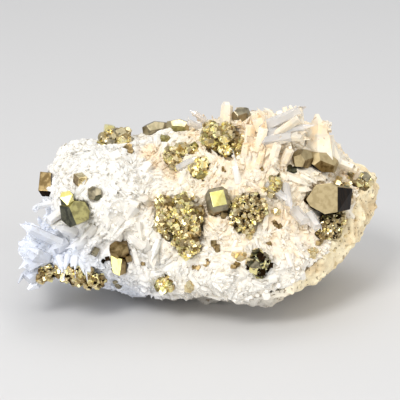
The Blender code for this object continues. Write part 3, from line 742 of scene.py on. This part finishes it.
# Node, the finishes of its grains by turns, the finish of the mass under them, the way right and
# up of its smooth side with how wide that is, and how coarse its grains are
GRANULAR = (
    ("pyrite_dome_front", FRESH, "rim", (0.8, 0.6), 0.26, 1.1),
    ("pyrite_dome_top", FRESH, "rim", (0.6, 0.8), 0.36, 1.2),
    ("pyrite_dome_top_left", PALE, "grey", (0.0, 1.0), 0.5, 1.9),
    ("pyrite_patch_middle", DEEP, "brown", (0.0, 1.0), 1.0, 0.9),
    ("pyrite_ring_left", FRESH, "brass", (0.0, 1.0), 0.8, 1.5),
    ("pyrite_ring_right", FRESH, "brown", (0.0, 1.0), 0.8, 1.7),
    ("pyrite_patch_right", DEEP, "dark", (0.0, 1.0), 1.0, 1.0),
    ("pyrite_tip_right", PALE, "dull", (0.0, 1.0), 0.9, 1.7),
    ("pyrite_right_gold", FRESH, "brown", (0.0, 1.0), 1.0, 1.2),
    ("pyrite_low_left", DEEP, "brown", (0.0, 1.0), 1.0, 1.0),
    ("pyrite_low_left_right", DEEP, "brown", (0.0, 1.0), 1.0, 1.1),
    ("pyrite_front_low", FRESH, "brass", (0.0, 1.0), 1.0, 1.2),
    ("pyrite_back_large", FRESH, "brown", (0.0, 1.0), 1.0, 1.2),
    ("pyrite_back_right", PALE, "grey", (0.0, 1.0), 1.0, 1.4),
    ("pyrite_under_left", DEEP, "brown", (0.0, 1.0), 1.0, 1.0),
    ("pyrite_under_right", FRESH, "brown", (0.0, 1.0), 1.0, 1.0),
    ("pyrite_diamond", DARK, "dark", (0.0, 1.0), 1.0, 1.9),
)


def form_of(obj):
    """Takes a modelled form's corners and faces and removes the object."""
    corners = [vert.co.copy() for vert in obj.data.vertices]
    faces = [tuple(face.vertices) for face in obj.data.polygons]
    bpy.data.objects.remove(obj)
    return corners, faces


def strew(name, forms, places, paints, shades=(0,)):
    """Makes one piece of many small forms, one at each place, in these materials by turns."""
    points = []
    faces = []
    tones = []
    for i, place in enumerate(places):
        corners, sides = forms[i % len(forms)]
        start = len(points)
        points += [place @ corner for corner in corners]
        faces += [tuple(start + j for j in side) for side in sides]
        tones += [shades[i % len(shades)]] * len(sides)
    mesh = bpy.data.meshes.new(name)
    mesh.from_pydata(points, [], faces)
    for paint in paints:
        mesh.materials.append(paint)
    mesh.polygons.foreach_set("material_index", tones)
    mesh.update()
    obj = bpy.data.objects.new(name, mesh)
    bpy.context.scene.collection.objects.link(obj)
    keep_in(obj, cad_box[0], cad_box[1])
    return obj


def spots_on(obj, count, rng):
    """Random places on a mesh, evenly by area, each with the face's normal."""
    mesh = obj.data
    mesh.calc_loop_triangles()
    triangles = mesh.loop_triangles
    areas = np.array([t.area for t in triangles])
    edges = np.cumsum(areas)
    picked = np.searchsorted(edges, [rng.random() * edges[-1] for _ in range(count)])
    spots = []
    for i in picked:
        a, b, c = (mesh.vertices[j].co for j in triangles[int(i)].vertices)
        s, t = rng.random(), rng.random()
        if s + t > 1:
            s, t = 1 - s, 1 - t
        spots.append((a + (b - a) * s + (c - a) * t, triangles[int(i)].normal.copy()))
    return spots


def cube_form(corner):
    """A cube of half width 1 whose corners are cut off by this much."""
    bpy.ops.object.select_all(action="DESELECT")
    bpy.ops.mesh.primitive_cube_add(size=2.0)
    obj = bpy.context.object
    bpy.ops.object.mode_set(mode="EDIT")
    bpy.ops.mesh.select_all(action="SELECT")
    bpy.ops.mesh.bevel(offset=corner, segments=1, affect="VERTICES")
    bpy.ops.object.mode_set(mode="OBJECT")
    return form_of(obj)


def grain_places(obj, smooth_way, smooth_from, coarse, rng):
    """Places of the grains of one mass, with their tips at its skin and off its smooth side."""
    area = sum(face.area for face in obj.data.polygons) / MM ** 2
    count = int(area * GRAINS_PER_AREA / coarse ** 2)
    smooth = (RIGHT * smooth_way[0] + UP * smooth_way[1]).normalized()
    places = []
    for spot, normal in spots_on(obj, count, rng):
        half = rng.uniform(*GRAIN_HALF) * coarse * MM
        turn = Vector((rng.gauss(0, 1), rng.gauss(0, 1), rng.gauss(0, 1))).normalized()
        size = Vector((1.0, rng.uniform(0.7, 1.1), rng.uniform(0.7, 1.2))) * half
        place = Matrix.Translation(spot - normal * half * 0.75)
        turned = Matrix.Rotation(rng.uniform(0, math.pi), 4, turn)
        if normal.dot(smooth) < smooth_from:
            places.append(place @ turned @ Matrix.Diagonal(size).to_4x4())
    return places


def shrink(obj, depth):
    """Sinks a whole skin by a depth."""
    bpy.ops.object.select_all(action="DESELECT")
    obj.select_set(True)
    bpy.context.view_layer.objects.active = obj
    bpy.ops.object.mode_set(mode="EDIT")
    bpy.ops.mesh.select_all(action="SELECT")
    bpy.ops.transform.shrink_fatten(value=-depth)
    bpy.ops.object.mode_set(mode="OBJECT")


cube_forms = [cube_form(0.12), cube_form(0.5), cube_form(0.3)]
for i, (node, shades, under, smooth_way, smooth_from, coarse) in enumerate(GRANULAR):
    core = copy_node(node, node + "_core")
    places = grain_places(core, smooth_way, smooth_from, coarse, random.Random(40 + i))
    names = sorted(set(shades))
    grains = strew(node + "_grains", cube_forms, places, [pyrite_paints[name] for name in names],
                   [names.index(name) for name in shades])
    core.data.materials.append(pyrite_paints[under])
    shrink(core, CORE_SINK)
    mass = joined([grains, core], node + "_mass")
    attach(mass, "root")
    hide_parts(node)


# Single pyrite crystals
# Cubes and twelve-sided crystals with slightly rounded edges. Their faces differ, and each face's finish
# is picked by the way it faces: some are dulled or tarnished, one is striated, the yellow faces turned
# up and to the front are fresh and carry a painted highlight, and the dark and shaded faces turned down
# or aside carry painted shade and painted reflection of dark surroundings.

# Node, the finish of its faces, and the way right, up and toward the viewer of the faces that
# have another finish
SINGLE = (
    ("pyrite_left_edge", "brown", (((-0.27, -0.69, 0.68), 0.9, "dark"),)),
    ("pyrite_left_pair", "olive", (
        ((-0.7, -0.35, 0.62), 0.9, "shaded"),
        ((0.0, 0.45, 0.88), 0.93, "yellow"),
    )),
    ("pyrite_left_brown", "brass", (((-0.85, -0.15, 0.5), 0.9, "brown"),)),
    ("pyrite_left_dark", "grey", (((0.57, -0.6, 0.56), 0.9, "shaded"),)),
    ("pyrite_striated", "brown", (
        ((-0.18, 0.06, 0.98), 0.98, "striped"),
        ((0.9, -0.1, 0.42), 0.97, "brown"),
        ((0.17, 0.91, 0.37), 0.9, "brown"),
    )),
    ("pyrite_yellow", "grey", (((0.05, 0.26, 0.96), 0.98, "yellow"), ((0.2, -0.9, 0.3), 0.85, "brown"))),
    ("pyrite_top_lozenge", "grey", (((0.1, 0.24, 0.97), 0.9, "dull"),)),
    ("pyrite_top_lozenge_right", "dull", (((-0.1, -0.42, 0.9), 0.95, "olive"),)),
    ("pyrite_right_large", "tan", (
        ((0.83, -0.05, 0.56), 0.95, "dark"),
        ((0.2, -1.0, 0.3), 0.7, "dark"),
    )),
    ("pyrite_right_ridge", "tan", (
        ((0.0, -1.0, 0.1), 0.7, "dark"),
        ((0.4, -0.5, 0.75), 0.93, "brown"),
    )),
    ("pyrite_top_dull", "grey", ()),
)

for node, plain, others in SINGLE:
    crystal = copy_node(node, node + "_crystal")
    names = [plain] + [finish for _, _, finish in others]
    for name in names:
        crystal.data.materials.append(pyrite_paints[name])
    # Each face takes a finish by the way it faces: the dark and shaded ones are painted shade and
    # painted reflection, the yellow ones a painted highlight.
    for face in crystal.data.polygons:
        for i, ((right, up, toward), least, _) in enumerate(others):
            way = (RIGHT * right + UP * up + TOWARD * toward).normalized()
            if face.normal.dot(way) > least:
                face.material_index = i + 1
    worn = crystal.modifiers.new("Worn", "BEVEL")
    worn.width = EDGE_WEAR
    worn.segments = 2
    worn.limit_method = "ANGLE"
    apply_all(crystal)
    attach(crystal, "root")
    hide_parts(node)


# Pyrite specks
# Single small pyrites and little groups of them that sit in the quartz between the larger
# ones: some golden, some brown, grey or almost black.

# Place across and up the view, half size, number of crystals and their finish
SPECKS = (
    ((-29.2, -14.5), 1.0, 1, "grey"),
    ((-26.4, -16.7), 0.7, 2, "dark"),
    ((-23.1, -23.4), 0.9, 2, "grey"),
    ((-20.3, -16.7), 0.8, 3, "brown"),
    ((-19.2, 13.9), 0.9, 3, "brown"),
    ((-10.3, 16.9), 1.0, 3, "olive"),
    ((-9.7, -10.6), 1.0, 4, "brass"),
    ((-1.9, 0.8), 0.7, 2, "gold"),
    ((11.1, -15.6), 1.0, 4, "gold"),
    ((10.6, -18.0), 0.7, 3, "brown"),
    ((4.7, -13.1), 0.9, 4, "brown"),
    ((2.2, -17.5), 0.5, 3, "brown"),
    ((-2.8, -24.2), 0.9, 4, "brass"),
    ((-16.0, -17.8), 0.5, 2, "brown"),
    ((21.4, 7.5), 0.9, 2, "grey"),
    ((25.6, 8.1), 0.8, 3, "shaded"),
    ((21.1, -3.6), 0.7, 5, "brass"),
    ((20.9, -6.7), 0.6, 4, "brown"),
    ((29.6, 0.0), 0.8, 3, "brown"),
    ((35.4, -4.6), 1.4, 3, "dark"),
    ((30.8, -13.9), 0.8, 5, "brass"),
    ((40.0, 2.6), 1.2, 5, "shaded"),
    ((38.4, 4.6), 0.9, 5, "brass"),
    ((33.4, -11.5), 0.8, 5, "brown"),
    ((6.5, 8.3), 0.5, 3, "brown"),
    ((17.1, 8.8), 0.5, 3, "brown"),
    ((-1.4, -19.0), 0.6, 3, "brown"),
    ((19.5, -12.5), 0.5, 2, "brown"),
    ((17.5, 2.6), 0.6, 5, "brass"),
    ((19.6, 2.0), 0.6, 5, "brass"),
    ((16.8, -3.4), 0.5, 4, "brown"),
    ((9.0, -6.2), 0.6, 4, "brass"),
    ((14.2, -9.6), 0.6, 4, "brass"),
    ((3.4, -3.6), 0.6, 5, "brass"),
    ((6.6, -4.2), 0.6, 5, "brown"),
    ((39.5, 3.4), 0.8, 5, "brown"),
    ((41.0, 4.4), 0.7, 5, "brass"),
    ((41.5, 1.4), 0.7, 5, "brown"),
)

crust_tree = tree_of(crust)
rng = random.Random(90)
speck_names = sorted({finish for _, _, _, finish in SPECKS})
speck_places = []
speck_tones = []
for (across, up), half, count, finish in SPECKS:
    for _ in range(count):
        aside = (rng.gauss(0, 0.7) * half, rng.gauss(0, 0.7) * half) if count > 1 else (0, 0)
        spot = seen(across + aside[0], up + aside[1], crust_tree)
        turn = Vector((rng.gauss(0, 1), rng.gauss(0, 1), rng.gauss(0, 1))).normalized()
        size = half * rng.uniform(0.6, 1.0) * MM if count > 1 else half * MM
        turned = Matrix.Rotation(rng.uniform(0, math.pi), 4, turn)
        shape = Matrix.Diagonal((size, size * 0.8, size * 1.1)).to_4x4()
        speck_places.append(Matrix.Translation(spot + TOWARD * size * 0.3) @ turned @ shape)
        speck_tones.append(speck_names.index(finish))
specks = strew("pyrite_specks", cube_forms, speck_places,
               [pyrite_paints[name] for name in speck_names], speck_tones)
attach(specks, "root")


# Small quartz crystals
# The thousands of six-sided crystals that cover the crust. Each is a small prism with a
# six-sided point, rooted in the crust, and they lie in fans that change slowly along it.

FAN = 14.0  # millimetres over which the way of the crystals changes

# Piece, how many are tried, least and most width in millimetres, slenderness, how steeply they
# stand, and how much they differ from their neighbours' way
PROUD = 0.5 * MM  # how far the tips may stand out of the solid's own skin
TOUCHING = 0.2 * MM
DEEPEST = 2.0 * MM  # half the width of the thick crystals
GROWTHS = (
    ("medium_quartz_crystals", 900, (1.3, 2.5), (1.6, 3.0), 0.3, 0.2),
    ("small_quartz_crystals", 5600, (0.55, 1.45), (1.8, 3.6), 0.4, 0.2),
    ("quartz_grains", 5000, (0.45, 0.9), (1.2, 2.2), 0.7, 0.5),
)


def quartz_form(point, blunt):
    """A six-sided crystal of length and half width 1, root down."""
    bpy.ops.object.select_all(action="DESELECT")
    bpy.ops.mesh.primitive_cylinder_add(vertices=6, radius=1.0, depth=1 - point,
                                        location=(0, 0, (1 - point) / 2))
    obj = bpy.context.object
    bpy.ops.object.transform_apply(location=True, rotation=True, scale=True)
    bpy.ops.object.mode_set(mode="EDIT")
    select_where(obj, lambda face: face.normal.z > 0.9)
    bpy.ops.mesh.extrude_region_move(TRANSFORM_OT_translate={"value": (0.15, 0.1, point)})
    bpy.ops.transform.resize(value=(blunt, blunt, 1), center_override=(0.15, 0.1, 1.0))
    bpy.ops.object.mode_set(mode="OBJECT")
    return form_of(obj)


def standing(root, way, half, length, twist):
    """The place of a form that stands at a root along a way, at its real size."""
    turn = way.to_track_quat("Z", "Y").to_matrix() @ Matrix.Rotation(twist, 3, "Z")
    size = Matrix.Diagonal((half, half, length))
    return Matrix.Translation(root) @ (turn @ size).to_4x4()


named_crystals = (milky_crystals, veiled_crystals, white_crystals, clear_crystals)
named_trees = [tree_of(crystals) for crystals in named_crystals]
speck_tree = tree_of(specks)
solid_tree = tree_of(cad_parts["quartz_bed"])


def has_room(root, tip):
    """Whether a crystal neither hides a pyrite from the front nor covers a large crystal."""
    points = (root, (root + tip) / 2, tip)
    for point in points:
        for tree in (inner_tree, speck_tree):
            if tree.ray_cast(point, -TOWARD, 6 * MM)[0] is not None:
                return False
        for tree in named_trees:
            near, normal, _, gap = tree.find_nearest(point)
            if gap < TOUCHING or (gap < DEEPEST and (point - near).dot(normal) < 0):
                return False
    return True


def fan_way(place, normal):
    """The way along the crust in which the crystals at a place lie."""
    way = noise.noise_vector(place / MM / FAN + Vector((3.0, 8.0, 1.0)))
    way -= normal * way.dot(normal)
    return way.normalized()


def small_places(count, widths, slenderness, upright, sway, seed):
    """Places of the crystals of one growth on the crust."""
    rng = random.Random(seed)
    places = []
    for root, normal in spots_on(crust, count, rng):
        half = rng.uniform(*widths) * MM / 2
        length = 2 * half * rng.uniform(*slenderness)
        random_way = Vector((rng.gauss(0, 1), rng.gauss(0, 1), rng.gauss(0, 1)))
        way = normal * upright + fan_way(root, normal) + random_way * sway
        way.normalize()
        twist = rng.uniform(0, math.pi)
        if way.dot(normal) < 0.1 or root.z < 0.8 * MM:
            continue
        start = root - way * length * 0.5
        near, out, _, _ = solid_tree.find_nearest(start + way * length)
        over = (start + way * length - near).dot(out) - PROUD
        if over > 0:
            start -= way * over
        if has_room(root, start + way * length):
            places.append(standing(start, way, half, length, twist))
    return places


crystal_forms = [quartz_form(0.3, 0.05), quartz_form(0.4, 0.1), quartz_form(0.25, 0.3)]
for seed, (name, *growth) in enumerate(GROWTHS):
    places = small_places(*growth, seed + 5)
    small_crystals = strew(name, crystal_forms, places, [crust_paint.material])
    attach(small_crystals, "root")
